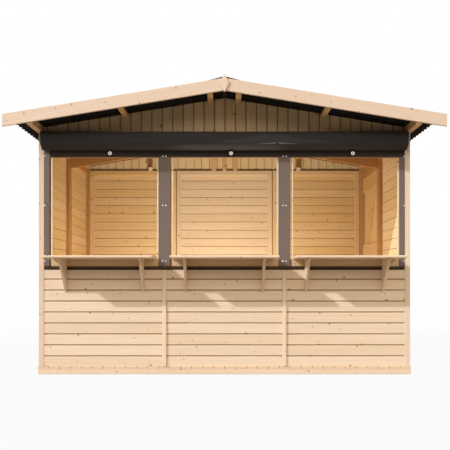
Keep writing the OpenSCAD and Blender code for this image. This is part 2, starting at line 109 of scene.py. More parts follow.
# %% Sky
LOW_SKY, HIGH_SKY = 0.04, 2.4
world = bpy.data.worlds.new("pale studio")
bpy.context.scene.world = world
world.use_nodes = True
tree = world.node_tree
tree.nodes.clear()
height = add_node(tree, "ShaderNodeSeparateXYZ", {0: add_node(tree, "ShaderNodeTexCoord").outputs["Generated"]})
rise = add_node(tree, "ShaderNodeMapRange", {
    "Value": height.outputs["Z"], "From Min": 0.14, "From Max": 0.35}, interpolation_type="SMOOTHSTEP")
fall = add_node(tree, "ShaderNodeMapRange", {
    "Value": height.outputs["Z"], "From Min": 0.42, "From Max": 0.8, "To Min": 1.0, "To Max": 0.15})
ring = add_node(tree, "ShaderNodeMath", {0: rise, 1: fall}, operation="MULTIPLY")
level = add_node(tree, "ShaderNodeMapRange", {"Value": ring, "To Min": LOW_SKY, "To Max": HIGH_SKY})
rays = add_node(tree, "ShaderNodeLightPath")
seen = add_node(tree, "ShaderNodeMath",
                {0: rays.outputs["Is Camera Ray"], 1: rays.outputs["Is Glossy Ray"]}, operation="MAXIMUM")
seen = add_node(tree, "ShaderNodeMath", {0: seen, 1: rays.outputs["Is Transmission Ray"]}, operation="MAXIMUM")
fill = add_node(tree, "ShaderNodeBackground", {"Color": linear("#fff1dc"), "Strength": level})
white = add_node(tree, "ShaderNodeBackground", {"Color": (1, 1, 1, 1), "Strength": 1.0})
sky = add_node(tree, "ShaderNodeMixShader", {0: seen, 1: fill, 2: white})
add_node(tree, "ShaderNodeOutputWorld", {"Surface": sky})
print("sky from", LOW_SKY, "at the horizon to", HIGH_SKY)

# %% Sun
SUN_FROM = Vector((-1.62, -1.0, 1.24))
sun = add_object("sun", bpy.data.lights.new("sun", "SUN"), energy=2.6, angle=math.radians(1.2),
                 color=linear("#f0f4ff")[:3])
sun.rotation_euler = SUN_FROM.to_track_quat("Z", "Y").to_euler()
print("sun", round(math.degrees(math.asin(SUN_FROM.normalized().z))), "degrees above the ground")

# %% [markdown]
# The photograph's bright back wall shows that a light stood inside. A soft panel lamp
# behind the counter shines at the back wall, a little upwards. It lights the room and
# not the outside, and it is out of the camera's sight.

# %% Lamp inside
LAMP_AT, LAMP_BACK = (-0.06, -0.66, 0.52), Vector((0, -0.95, -0.5))
lamp = add_object("lamp_inside", bpy.data.lights.new("lamp_inside", "AREA"), shape="RECTANGLE", size=1.1,
                  size_y=0.3, energy=28, color=linear("#fff8ee")[:3])
lamp.location = LAMP_AT
lamp.rotation_euler = LAMP_BACK.to_track_quat("Z", "Y").to_euler()
lamp.visible_camera = False
print("lamp inside of", lamp.data.energy, "W")

# %% [markdown]
# ## Planed spruce
# The kiosk is planed, untreated spruce: a pale yellow-white wood with soft growth rings,
# small brown knots and a dull surface. A picture of wood would repeat, so the pattern is
# worked out instead. Each board gets its own strip of texture space: the first coordinate
# runs along the grain in metres, the second across it, and each board starts one whole
# unit further on, so that its number is the whole part of the coordinate.

# %% Planed spruce
def start_material(name, kind="ShaderNodeTexCoord", output="Object"):
    """A new material, its node tree, and the coordinates that its pattern follows."""
    material = bpy.data.materials.new(name)
    material.use_nodes = True
    tree = material.node_tree
    tree.nodes.clear()
    return material, tree, add_node(tree, kind).outputs[output]


def finish_material(material, share, first, second, surface, relief=None):
    """Ends a tree: two colours mixed by a share, relief as (height, strength, depth) where
    there is any, and a shader whose other sockets are set by name."""
    tree = material.node_tree
    surface["Base Color"] = add_node(tree, "ShaderNodeMix", {"Factor": share, "A": first, "B": second},
                                     data_type="RGBA")
    if relief:
        surface["Normal"] = add_node(tree, "ShaderNodeBump", dict(zip(("Height", "Strength", "Distance"), relief)))
    shader = add_node(tree, "ShaderNodeBsdfPrincipled", surface)
    add_node(tree, "ShaderNodeOutputMaterial", {"Surface": shader})
    return material


KNOT_CELL, FINE_RINGS, END_RINGS = 0.125, 0.0055, 0.006


def planed_spruce(name, pale, late_wood, knot="#64401f"):
    """Spruce seen along the grain: streaks, rings that part round knots, and board tones."""
    material, tree, place = start_material(name, "ShaderNodeUVMap", "UV")
    parts = add_node(tree, "ShaderNodeSeparateXYZ", {"Vector": place})
    number = add_node(tree, "ShaderNodeMath", {0: parts.outputs["Y"]}, operation="FLOOR")
    board = add_node(tree, "ShaderNodeTexWhiteNoise", {"W": number}, noise_dimensions="1D")

    # Each cell of the pattern may hold one knot, 3 to 8 mm in radius
    cells = add_node(tree, "ShaderNodeTexVoronoi", {"Vector": place, "Scale": 1 / KNOT_CELL},
                     voronoi_dimensions="2D", feature="F1")
    draw = add_node(tree, "ShaderNodeSeparateColor", {"Color": cells.outputs["Color"]})
    there = add_node(tree, "ShaderNodeMath", {0: draw.outputs[0], 1: 0.55}, operation="LESS_THAN")
    radius = add_node(tree, "ShaderNodeMapRange", {
        "Value": draw.outputs[1], "To Min": 0.003 / KNOT_CELL, "To Max": 0.008 / KNOT_CELL})
    inner = add_node(tree, "ShaderNodeMath", {0: radius, 1: 0.6}, operation="MULTIPLY")
    wide = add_node(tree, "ShaderNodeMath", {0: radius, 1: 3.2}, operation="MULTIPLY")
    core = add_node(tree, "ShaderNodeMapRange", {
        "Value": cells.outputs["Distance"], "From Min": inner, "From Max": radius,
        "To Min": 1.0, "To Max": 0.0}, interpolation_type="SMOOTHSTEP")
    core = add_node(tree, "ShaderNodeMath", {0: core, 1: there}, operation="MULTIPLY")
    halo = add_node(tree, "ShaderNodeMapRange", {
        "Value": cells.outputs["Distance"], "From Min": 0.0, "From Max": wide,
        "To Min": 1.0, "To Max": 0.0}, interpolation_type="SMOOTHSTEP")
    halo = add_node(tree, "ShaderNodeMath", {0: halo, 1: there}, operation="MULTIPLY")

    # The grain sways slowly along the board and bends round the knots
    slow = add_node(tree, "ShaderNodeVectorMath", {0: place, 1: (0.9, 5.0, 0.0)}, operation="MULTIPLY")
    sway = add_node(tree, "ShaderNodeTexNoise", {"Vector": slow, "Scale": 1.0, "Detail": 2.0},
                    noise_dimensions="2D")
    bend = add_node(tree, "ShaderNodeMath", {0: sway, 1: 0.03, 2: parts.outputs["Y"]}, operation="MULTIPLY_ADD")
    bend = add_node(tree, "ShaderNodeMath", {0: halo, 1: 0.008, 2: bend}, operation="MULTIPLY_ADD")
    grain = add_node(tree, "ShaderNodeCombineXYZ", {"X": parts.outputs["X"], "Y": bend})
    long_grain = add_node(tree, "ShaderNodeVectorMath", {0: grain, 1: (1.4, 62.0, 0.0)}, operation="MULTIPLY")
    streaks = add_node(tree, "ShaderNodeTexNoise", {"Vector": long_grain, "Scale": 1.0, "Detail": 3.0},
                       noise_dimensions="2D")
    turns = add_node(tree, "ShaderNodeMath", {0: bend, 1: math.tau / FINE_RINGS}, operation="MULTIPLY")
    rings = add_node(tree, "ShaderNodeMath", {0: turns}, operation="SINE")
    figure = add_node(tree, "ShaderNodeMath", {0: streaks, 1: 0.7, 2: -0.05}, operation="MULTIPLY_ADD")
    figure = add_node(tree, "ShaderNodeMath", {0: rings, 1: 0.07, 2: figure}, operation="MULTIPLY_ADD")
    figure = add_node(tree, "ShaderNodeMath", {0: halo, 1: 0.4, 2: figure}, operation="MULTIPLY_ADD",
                      use_clamp=True)
    colour = add_node(tree, "ShaderNodeMix", {"Factor": figure, "A": linear(pale), "B": linear(late_wood)},
                      data_type="RGBA")

    # No two boards have quite the same tone
    tone = add_node(tree, "ShaderNodeMapRange", {"Value": board.outputs["Value"], "To Min": 0.95, "To Max": 1.02})
    warmth = add_node(tree, "ShaderNodeMapRange", {"Value": board.outputs["Value"], "To Min": 1.06, "To Max": 0.94})
    toned = add_node(tree, "ShaderNodeHueSaturation", {
        "Saturation": warmth, "Value": tone, "Color": colour})
    amount = add_node(tree, "ShaderNodeMath", {0: core, 1: 0.9}, operation="MULTIPLY")
    return finish_material(material, amount, toned, linear(knot), {"Roughness": 0.62}, (figure, 0.25, 0.6 * MM))


def sawn_ends(name, pale, late_wood):
    """The same wood cut square across, with arcs of growth rings, 6 mm apart to show."""
    material, tree, place = start_material(name, "ShaderNodeUVMap", "UV")
    place = add_node(tree, "ShaderNodeVectorMath", {0: place}, operation="FRACTION")
    far = add_node(tree, "ShaderNodeVectorMath", {0: place}, operation="LENGTH")
    turns = add_node(tree, "ShaderNodeMath", {0: far.outputs["Value"], 1: math.tau / END_RINGS},
                     operation="MULTIPLY")
    rings = add_node(tree, "ShaderNodeMath", {0: turns}, operation="SINE")
    rings = add_node(tree, "ShaderNodeMath", {0: rings, 1: 0.3, 2: 0.4}, operation="MULTIPLY_ADD")
    return finish_material(material, rings, linear(pale), linear(late_wood), {"Roughness": 0.85})


cladding_spruce = planed_spruce("planed spruce cladding", "#f4dfc5", "#e3c8a6")
# Copies of the same spruce that differ by painted light. Inner faces: warmer and darker, which is painted shade
# inside the kiosk, warmed as by light bounced off the wood
shade_warmed_inner_spruce = planed_spruce("planed spruce, inner faces, warmer for painted shade", "#e6c78e", "#cfa468")
# Paler copy: painted light where the lamp inside shines brightest
lamp_lit_inner_spruce = planed_spruce("planed spruce, paler for painted lamplight", "#e6cfab", "#d3b080")
# Palest copy: painted light on the inner faces of the gables and of the right wall's front
brightest_lit_inner_spruce = planed_spruce("planed spruce, palest for painted light", "#f6dba6", "#e0b97e")
# Framing: more orange than the boards, which is painted shade inside the kiosk, warmed as by light bounced off the
# wood
warm_shade_frame_spruce = planed_spruce("planed spruce framing, more orange for painted shade", "#e3bf88", "#c39455")
# Reddish and darker: painted shade on the rafters and the wall frames, whose faces towards the front get little
# light inside
shaded_rafter_spruce = planed_spruce("planed spruce, reddish for painted shade", "#c4915c", "#a46d38")
barge_spruce = planed_spruce("planed spruce bargeboards", "#eed8c3", "#e0c4a8")
# Darker copy: painted shade on the front gable under the roof's overhang and on the sill rails under the shelves
shaded_gable_spruce = planed_spruce("planed spruce, darker for painted shade", "#e8cba2", "#c8a474")
# Dark brown copy: painted shade on the sides of the window frame and on the posts under the middle purlins
shaded_window_spruce = planed_spruce("planed spruce, dark for painted shade", "#9a6f3c", "#7a5127")
spruce_ends = sawn_ends("sawn spruce ends", "#f0d9bb", "#d6b389")
# The tongues get a dark brown copy of the spruce: painted shade deep in the gaps between the boards
gap_shade_spruce = planed_spruce("spruce tongues, painted gap shade", "#9a7042", "#7a5529")
print("materials:", ", ".join(m.name for m in bpy.data.materials if "spruce" in m.name))

# %% [markdown]
# ## Working with boards
# A board is a section, such as a tongue-and-groove profile, drawn out along its length.
# Its ends may be cut at a slant. The grain follows the longest edge of the board, unless a
# direction is given, and the faces square to it are sawn ends.

# %% Board helpers
board_numbers = itertools.count(1)
chance = random.Random(11)


def eased(width, thick, ease):
    """A rectangular section with its four edges taken off."""
    return [(ease, 0), (width - ease, 0), (width, ease), (width, thick - ease),
            (width - ease, thick), (ease, thick), (0, thick - ease), (0, ease)]


def bridge(bm, rings):
    """Joins each closed ring of points to the next with faces."""
    for a, b in zip(rings, rings[1:]):
        for i in range(len(a)):
            j = (i + 1) % len(a)
            bm.faces.new((a[i], a[j], b[j], b[i]))


def add_board(bm, section, corner, along, across, out, span, cut=(0.0, 0.0)):
    """Draws a section from span[0] to span[1]. A cut is how far an end moves for each unit across."""
    ends = [[bm.verts.new(corner + along * (span[i] + cut[i] * a) + across * a + out * d) for a, d in section]
            for i in (0, 1)]
    bridge(bm, ends)
    bm.faces.new(ends[0][::-1])
    bm.faces.new(ends[1])


def islands(bm):
    """The separate pieces of a mesh, each as a list of faces, in the order of the mesh."""
    seen = set()
    for first in bm.faces:
        if first in seen:
            continue
        seen.add(first)
        island = [first]
        for face in island:
            for edge in face.edges:
                for other in edge.link_faces:
                    if other not in seen:
                        seen.add(other)
                        island.append(other)
        yield island


def map_grain(bm, grain=None, inwards=None):
    """Gives each board its own strip of texture space, in metres, and marks its sawn ends.
    Where a wall's inward direction is given, its inner faces are marked for the warmer copy that is painted shade
    inside, and its tongues for the dark copy that is painted shade in the gaps."""
    layer = bm.loops.layers.uv.verify()
    for island in islands(bm):
        direction = grain
        if direction is None:
            longest = max((e for f in island for e in f.edges), key=lambda e: round(e.calc_length(), 5))
            direction = (longest.verts[1].co - longest.verts[0].co).normalized()
        side = min((X, Y, Z), key=lambda axis: abs(axis.dot(direction)))
        wide = direction.cross(side).normalized()
        thick = direction.cross(wide)
        points = {v.co.copy().freeze() for f in island for v in f.verts}
        low_wide = min(p.dot(wide) for p in points)
        low_thick = min(p.dot(thick) for p in points)
        number = next(board_numbers) + 0.1
        start = chance.uniform(0, 40)
        depths = [p.dot(inwards) for p in points] if inwards else []
        for face in island:
            end = abs(face.normal.dot(direction)) > 0.7
            inner = tongue = False
            if inwards:
                depth, turned_in = face.calc_center_median().dot(inwards), face.normal.dot(inwards)
                inner = turned_in > 0.5
                tongue = abs(turned_in) > 0.9 and min(depths) + 3 * MM < depth < max(depths) - 3 * MM
            # Inner faces get the warmer copy, which is painted shade inside; tongue faces get the dark copy, which
            # is painted shade in the gaps
            face.material_index = 1 if end else 3 if tongue else 2 if inner else 0
            for loop in face.loops:
                p = loop.vert.co
                w, t = p.dot(wide) - low_wide, p.dot(thick) - low_thick
                loop[layer].uv = ((w + 0.01 * (start % 3), number + t) if end
                                  else (p.dot(direction) + start, number + w + t))


def to_object(bm, name, body, finishes, nodes=(), smooth=None):
    """Turns a mesh in the making into a piece that rides on a body and stands for CAD nodes."""
    bmesh.ops.recalc_face_normals(bm, faces=bm.faces)
    if smooth is not None:
        for edge in bm.edges:
            edge.smooth = edge.calc_face_angle(0.0) < math.radians(smooth)
        for face in bm.faces:
            face.smooth = True
    mesh = bpy.data.meshes.new(name)
    bm.to_mesh(mesh)
    bm.free()
    piece = add_object(name, mesh)
    for finish in finishes:
        mesh.materials.append(finish)
    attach(piece, body)
    if nodes:
        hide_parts(*nodes)
    return piece


def timber_piece(bm, name, body, finish, nodes, grain=None, inwards=None, inner=shade_warmed_inner_spruce):
    """A piece made of spruce boards, with its grain mapped."""
    bmesh.ops.recalc_face_normals(bm, faces=bm.faces)
    bm.normal_update()
    map_grain(bm, grain, inwards)
    return to_object(bm, name, body, [finish, spruce_ends, inner, gap_shade_spruce], nodes)


# %% [markdown]
# ## Tongue-and-groove cladding
# Each wall board covers 87 mm and is 16 mm thick. A tongue along its top edge sits in the groove of the next board.
# Between two faces a gap of 8 mm stays open, and one of 5 mm on the inside. The upper edge of each face is
# bevelled, so a fine dark line with a bright edge under it runs between two boards. The tongue deep in the gap is
# coloured dark brown, which is painted shade. The section below is drawn once and repeated.

# %% Cladding section and walls
COVER = 87 * MM
BOARD_T = 16 * MM


def tongued(width, thick=BOARD_T, gap=8 * MM, depth=8 * MM, chamfer=4 * MM, back_gap=5 * MM, tongue=True):
    """A board's section from its lower edge to its upper edge, face side first."""
    if not tongue:
        return eased(width, thick, min(1.5 * MM, width / 3))
    face, back = width - gap, width - back_gap
    shoulder, ease = thick - 5 * MM, 1 * MM
    return [(ease, 0), (face - chamfer, 0), (face, chamfer), (face, depth), (width, depth),
            (width, shoulder), (back, shoulder), (back, thick - ease), (back - ease, thick),
            (ease, thick), (0, thick - ease), (0, ease)]


def clad(bm, corner, along, length, up, height, inwards, **profile):
    """Lays boards from the foot of a panel to its top. The last is cut to what is left."""
    rows = math.ceil(height / COVER - 0.02)
    for row in range(rows):
        width = min(COVER, height - row * COVER)
        section = tongued(width, tongue=row < rows - 1, **profile)
        add_board(bm, section, corner + up * (row * COVER), along, up, inwards, (0, length))
    return rows


def clad_node(node, along, inwards, inner=shade_warmed_inner_spruce):
    """Clads the panel that a CAD node holds as plain slabs."""
    bm = bmesh.new()
    low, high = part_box(node)
    face = low if inwards.dot(Vector((1, 1, 1))) > 0 else high
    corner = Vector((face.x if abs(inwards.x) else low.x, face.y if abs(inwards.y) else low.y, low.z))
    rows = clad(bm, corner, along, (high - low).dot(along), Z, high.z - low.z, inwards)
    timber_piece(bm, node + "_tongued", "kiosk", cladding_spruce, [node], along, inwards, inner)
    return rows


walls = [("counter_boards_left", X, Y), ("counter_boards_middle", X, Y), ("counter_boards_right", X, Y),
         ("left_boards_front", Y, X), ("left_boards_rear", Y, X), ("right_boards_over_door", Y, -X),
         ("back_boards_left", X, -Y), ("back_boards_right", X, -Y),
         # The back wall's middle and the right wall's front get paler inner copies: painted light where the lamp
         # shines brightest
         ("back_boards_middle", X, -Y, lamp_lit_inner_spruce), ("right_boards_front", Y, -X, brightest_lit_inner_spruce)]
print("rows of boards:", {wall[0]: clad_node(*wall) for wall in walls})

# %% Narrow boards beside the door
def cad_mesh(node):
    """A mesh in the making with the solids of a CAD node."""
    bm = bmesh.new()
    bm.from_mesh(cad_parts[node].data)
    bmesh.ops.remove_doubles(bm, verts=bm.verts, dist=0.01 * MM)
    return bm


def solids_of(node):
    """The lowest and highest corner of each solid of a CAD node."""
    bm = cad_mesh(node)
    corners = []
    for island in islands(bm):
        points = [v.co for f in island for v in f.verts]
        corners.append((Vector(map(min, *points)), Vector(map(max, *points))))
    bm.free()
    return sorted(corners, key=lambda c: tuple(c[0]))


bm = bmesh.new()
for low, high in solids_of("right_boards_beside_door"):
    clad(bm, Vector((high.x, low.y, low.z)), Y, high.y - low.y, Z, high.z - low.z, -X)
timber_piece(bm, "boards_beside_door_tongued", "kiosk", cladding_spruce,
             ["right_boards_beside_door"], Y, -X)

# %% [markdown]
# ## Gable boards
# The triangles under the roof are closed with the same kind of boards, standing upright.
# They cover 83 mm each and are laid from left to right, with a joint just right of the
# middle. Each board's head is cut to the slope of the roof.

# %% Gable boards
ROOF_ANGLE = math.radians(9.19)
SLOPE = math.tan(ROOF_ANGLE)
WALL_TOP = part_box("corner_posts")[1].z
HALF_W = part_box("corner_posts")[1].x
EAVE_PURLIN_H = 48 * MM
RIDGE_Z = WALL_TOP + EAVE_PURLIN_H + HALF_W * SLOPE
GABLE_COVER, GABLE_JOINT, HEAD_GAP = 83 * MM, 10 * MM, 3 * MM


def gable(node, finish, face_y, inwards, foot_gap=0.0):
    """Upright boards from left to right, each cut to the slope at its head."""
    bm = bmesh.new()
    low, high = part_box(node)
    low.z += foot_gap
    first = math.floor((low.x - GABLE_JOINT) / GABLE_COVER)
    last = math.ceil((high.x - GABLE_JOINT) / GABLE_COVER)
    for i in range(first, last):
        x0 = max(low.x, GABLE_JOINT + i * GABLE_COVER)
        x1 = min(high.x, GABLE_JOINT + (i + 1) * GABLE_COVER)
        head = RIDGE_Z - HEAD_GAP - abs(x0) * SLOPE - low.z
        section = tongued(x1 - x0, tongue=i < last - 1)
        add_board(bm, section, Vector((x0, face_y, low.z)), Z, X, inwards,
                  (0, head), (0, math.copysign(SLOPE, -x0)))
    # The inner faces get the palest copy, which is painted light
    timber_piece(bm, node + "_tongued", "kiosk", finish, [node], Z, inwards, brightest_lit_inner_spruce)
    return last - first


REAR_GAP = 12 * MM
# The front gable's boards get the darker copy: painted shade under the roof's overhang
boards = gable("front_gable_boards", shaded_gable_spruce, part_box("front_gable_boards")[0].y, Y)
gable("rear_gable_boards", cladding_spruce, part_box("rear_gable_boards")[1].y, -Y, REAR_GAP)
print(boards, "boards in each gable, ridge at", round(RIDGE_Z, 3))

# %% [markdown]
# The rear gable stands 12 mm above the wall, and from inside the joint shows as a dark
# line. A batten covers it outside.

# %% Batten over the rear joint
bm = bmesh.new()
low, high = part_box("rear_gable_boards")
BATTEN_W, BATTEN_T = 30 * MM, 12 * MM
add_board(bm, eased(BATTEN_W, BATTEN_T, 2 * MM), Vector((0, high.y + BATTEN_T, low.z + 0.5 * MM)), X, Z, -Y,
          (low.x, high.x))
timber_piece(bm, "rear_gable_batten", "kiosk", cladding_spruce, [], X)

# %% [markdown]
# Under each middle purlin a short post, dark brown as painted shade, with a pale packing piece below it, stands on
# the back wall. Both show small through the side windows.

# %% Posts under the middle purlins
PURLIN_X, PURLIN_W, PURLIN_H = 782 * MM, 42 * MM, 34 * MM
post_top = RIDGE_Z - (PURLIN_X + PURLIN_W / 2) * SLOPE - PURLIN_H / math.cos(ROOF_ANGLE) - 1 * MM
packing_top = WALL_TOP + 34 * MM
posts, packings = bmesh.new(), bmesh.new()
for side in (-1, 1):
    corner = Vector((side * PURLIN_X - PURLIN_W / 2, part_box("rear_gable_boards")[0].y, 0))
    add_board(posts, eased(PURLIN_W, 32 * MM, 1.5 * MM), corner, Z, X, -Y, (packing_top + 0.3 * MM, post_top))
    add_board(packings, eased(PURLIN_W, 38 * MM, 1.5 * MM), corner, Z, X, -Y, (WALL_TOP + 1 * MM, packing_top))
timber_piece(posts, "rear_purlin_posts", "kiosk", shaded_window_spruce, [], Z)
timber_piece(packings, "rear_purlin_packings", "kiosk", cladding_spruce, [], X)
print("posts under the middle purlins up to", round(post_top, 3))

# %% [markdown]
# ## Floor
# The floor boards run from front to back on four bearers. Their sawn ends show as a row
# under the front wall, each with its tongue in the next board's groove.

# %% Floor boards
low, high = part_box("floor_boards")
bm = bmesh.new()
count = clad(bm, Vector((low.x, low.y, high.z)), Y, high.y - low.y, X, high.x - low.x, -Z,
             thick=high.z - low.z, gap=6 * MM, chamfer=2 * MM)
timber_piece(bm, "floor_boards_tongued", "kiosk", cladding_spruce, ["floor_boards"], Y)
print(count, "floor boards")

# %% [markdown]
# ## Framing
# Studs, rails, posts, rafters and purlins are square-planed sticks. Their shapes are right
# in the frame already, so each is rebuilt from its CAD solid with what planing leaves:
# edges eased by a millimetre or two, grain along the stick and sawn wood at its ends.

# %% Dress the framing
def soft_edged(node, ease, sharp_from, segments, reshape=None):
    """A CAD node's solids with their sharp edges taken off. A reshape function may move a
    point by some millimetres first."""
    bm = cad_mesh(node)
    bmesh.ops.dissolve_limit(bm, angle_limit=math.radians(0.5), verts=bm.verts, edges=bm.edges)
    if reshape:
        for v in bm.verts:
            v.co = reshape(v.co.copy())
    sharp = [e for e in bm.edges if e.calc_face_angle(0.0) > math.radians(sharp_from)]
    bmesh.ops.bevel(bm, geom=sharp, offset=ease, segments=segments, profile=0.5, affect="EDGES", clamp_overlap=True)
    return bm


def dressed(node, finish, ease, body="kiosk", grain=None, reshape=None):
    """Rebuilds a CAD node's sticks with eased edges and mapped grain."""
    bm = soft_edged(node, ease, 25, 1, reshape)
    return timber_piece(bm, node + "_planed", body, finish, [node], grain)


for node in ("counter_frame", "gable_posts", "eave_purlins", "middle_purlins", "ridge_purlins"):
    dressed(node, warm_shade_frame_spruce, 1.5 * MM)
# The wall frames and the rafters get the reddish copy, which is painted shade
for node in ("left_wall_frame", "right_wall_frame", "middle_rafters"):
    dressed(node, shaded_rafter_spruce, 1.5 * MM)
# The window frame gets the dark brown copy, which is painted shade in the window edges
dressed("window_frame", shaded_window_spruce, 1.5 * MM)

# %% [markdown]
# At each joint of the back wall two studs stand side by side. They don't quite touch, so a
# dark line runs between them.

# %% Back studs
back_joint = (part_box("back_boards_middle")[1].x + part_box("back_boards_right")[0].x) / 2
STUD_SHIFT = 3 * MM


def stand_apart(p):
    """Moves each of the two back studs at a joint away from the other."""
    off = abs(p.x) - back_joint
    if abs(off) < STUD_SHIFT:
        p.x += math.copysign(STUD_SHIFT, p.x) * math.copysign(1, off)
    return p


studs = dressed("back_wall_frame", shade_warmed_inner_spruce, 1.5 * MM, reshape=stand_apart)
# The frame of the middle panel gets the same paler copy as its boards: painted light where the lamp shines
# brightest
studs.data.materials[2] = lamp_lit_inner_spruce
for face in studs.data.polygons:
    if face.material_index == 0 and abs(face.center.x) < back_joint:
        face.material_index = 2
print("back joints at", round(back_joint, 3), "on both sides")

# %% Posts, bearers, bargeboards and brackets
WALL_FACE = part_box("counter_boards_left")[0].y
SOLID_FOOT, THIN_FOOT = 26 * MM, 6 * MM


def thin_foot(p):
    """Makes a bracket's foot 6 mm deep instead of the 26 mm of its solid."""
    if abs(p.y - (WALL_FACE - SOLID_FOOT)) < 0.5 * MM:
        p.y = WALL_FACE - THIN_FOOT
    return p


dressed("door_ledges", warm_shade_frame_spruce, 3 * MM, body="door")
for node in ("floor_bearers", "panel_joint_battens"):
    dressed(node, cladding_spruce, 2 * MM)
dressed("corner_posts", barge_spruce, 2 * MM)
for node in ("front_bargeboard_left", "front_bargeboard_right", "rear_bargeboard_left", "rear_bargeboard_right"):
    dressed(node, barge_spruce, 1.5 * MM)
dressed("apex_plates", barge_spruce, 1.5 * MM, grain=Z)
dressed("shelf_brackets", cladding_spruce, 1.2 * MM, grain=Z, reshape=thin_foot)

# %% [markdown]
# ## Shelves
# A shelf this deep is glued up from several narrow boards. The front one has a rounded
# nose, so that nobody knocks against a sharp edge.

# %% Shelves
def shelf(node, boards=4, nose=6 * MM):
    """A glued shelf: boards side by side along X, the front one rounded."""
    bm = bmesh.new()
    low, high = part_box(node)
    deep, thick = (high.y - low.y) / boards, high.z - low.z
    for i in range(boards):
        section = eased(deep, thick, 0.4 * MM)
        if i == 0:
            turn = [math.radians(a) for a in range(0, 91, 15)]
            section = [(nose - nose * math.sin(a), nose - nose * math.cos(a)) for a in turn]
            section += [(nose - nose * math.cos(a), thick - nose + nose * math.sin(a)) for a in turn]
            section += [(deep, thick), (deep, 0)]
        add_board(bm, section, Vector((low.x, low.y + i * deep, high.z)), X, Y, -Z, (0, high.x - low.x))
    timber_piece(bm, node + "_glued", "kiosk", cladding_spruce, [node], X)


for node in ("shelf_left", "shelf_middle", "shelf_right"):
    shelf(node)

# %% [markdown]
# ## Door leaf
# The leaf is upright tongue-and-groove boards, held together by ledges and braces inside.

# %% Door boards
low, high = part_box("door_boards")
bm = bmesh.new()
count = clad(bm, Vector((high.x, low.y, low.z)), Z, high.z - low.z, Y, high.y - low.y, -X)
timber_piece(bm, "door_boards_tongued", "door", cladding_spruce, ["door_boards"], Z, -X)
print(count, "boards in the door leaf")

# %% [markdown]
# ## Painted facing
# Thin dark boards face the window frame: a header with four posts hanging from it, and a sill strip a little
# further back. They have an opaque brown-grey wood paint: dull, with the grain just showing through. Header and
# sill strip get a nearly black copy of this paint, which is painted shade under the rolled cover and under the
# shelves; the left post, which the sun reaches, keeps the brown-grey up to its top. The upper corners of the
# openings are rounded. A flat curve, extruded and bevelled, gives such a sheet.

# %% Painted facing
def opaque_paint(name, colour, worn):
    """Wood paint: one dull colour, a little paler where the brush left it thin. A matt paint
    scatters most of its gloss away, so little of it is left."""
    material, tree, place = start_material(name)
    brushed = add_node(tree, "ShaderNodeMapping", {"Vector": place, "Scale": (160, 160, 5)})
    strokes = add_node(tree, "ShaderNodeTexNoise", {"Vector": brushed.outputs[0], "Scale": 1.0, "Detail": 3.0})
    clouds = add_node(tree, "ShaderNodeTexNoise", {"Vector": place, "Scale": 3.0, "Detail": 2.0})
    thin = add_node(tree, "ShaderNodeMath", {0: strokes, 1: clouds}, operation="MULTIPLY")
    return finish_material(material, thin, linear(colour), linear(worn),
                           {"Roughness": 0.6, "Specular IOR Level": 0.12}, (strokes, 0.2, 0.5 * MM))


facing_paint = opaque_paint("opaque wood paint", "#746761", "#887b74")
# A nearly black copy of the same paint, which is painted shade
shade_dark_paint = opaque_paint("opaque wood paint, dark for painted shade", "#38312c", "#453e38")


def flat_sheet(name, outline, thick, ease):
    """A sheet in the XY plane with eased edges, from its outline."""
    curve = bpy.data.curves.new(name, "CURVE")
    curve.dimensions = "2D"
    curve.fill_mode = "BOTH"
    curve.extrude = thick / 2 - ease
    curve.bevel_depth = ease
    curve.bevel_resolution = 1
    curve.offset = -ease
    spline = curve.splines.new("POLY")
    spline.points.add(len(outline) - 1)
    spline.use_cyclic_u = True
    for point, (a, b) in zip(spline.points, outline):
        point.co = (a, b, 0, 1)
    holder = bpy.data.objects.new(name + "_curve", curve)
    mesh = bpy.data.meshes.new_from_object(holder)
    bpy.data.objects.remove(holder)
    return mesh


sill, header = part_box("window_sill_facing"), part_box("window_header_facing")
posts = solids_of("window_post_facings")
FACING_R, FACING_T = 10 * MM, 7 * MM
SIDE_BACK, POST_BACK = 12 * MM, 5 * MM
post_edges = [posts[0][1].x - FACING_R - SIDE_BACK, posts[1][0].x + FACING_R + POST_BACK,
              posts[1][1].x - FACING_R - POST_BACK, posts[2][0].x + FACING_R + POST_BACK,
              posts[2][1].x - FACING_R - POST_BACK, posts[3][0].x + FACING_R + SIDE_BACK]
window_low, window_high, face_y = sill[1].z, header[0].z, sill[0].y
outline = [(sill[0].x, header[1].z), (sill[0].x, window_low)]
for left, right in zip(post_edges[::2], post_edges[1::2]):
    outline.append((left, window_low))
    for middle, start in ((left + FACING_R, 180), (right - FACING_R, 90)):
        for turn in range(start, start - 91, -15):
            a = math.radians(turn)
            outline.append((middle + FACING_R * math.cos(a), window_high - FACING_R + FACING_R * math.sin(a)))
    outline.append((right, window_low))
outline += [(sill[1].x, window_low), (sill[1].x, header[1].z)]
sheet = flat_sheet("window_facing_painted", outline, FACING_T, 0.8 * MM)
sheet.transform(Matrix.Translation((0, face_y + FACING_T / 2, 0)) @ Matrix.Rotation(math.radians(90), 4, "X"))
bm = bmesh.new()
bm.from_mesh(sheet)
bmesh.ops.remove_doubles(bm, verts=bm.verts, dist=0.01 * MM)
SHADE_PAINT_FOOT = window_high + 2 * MM
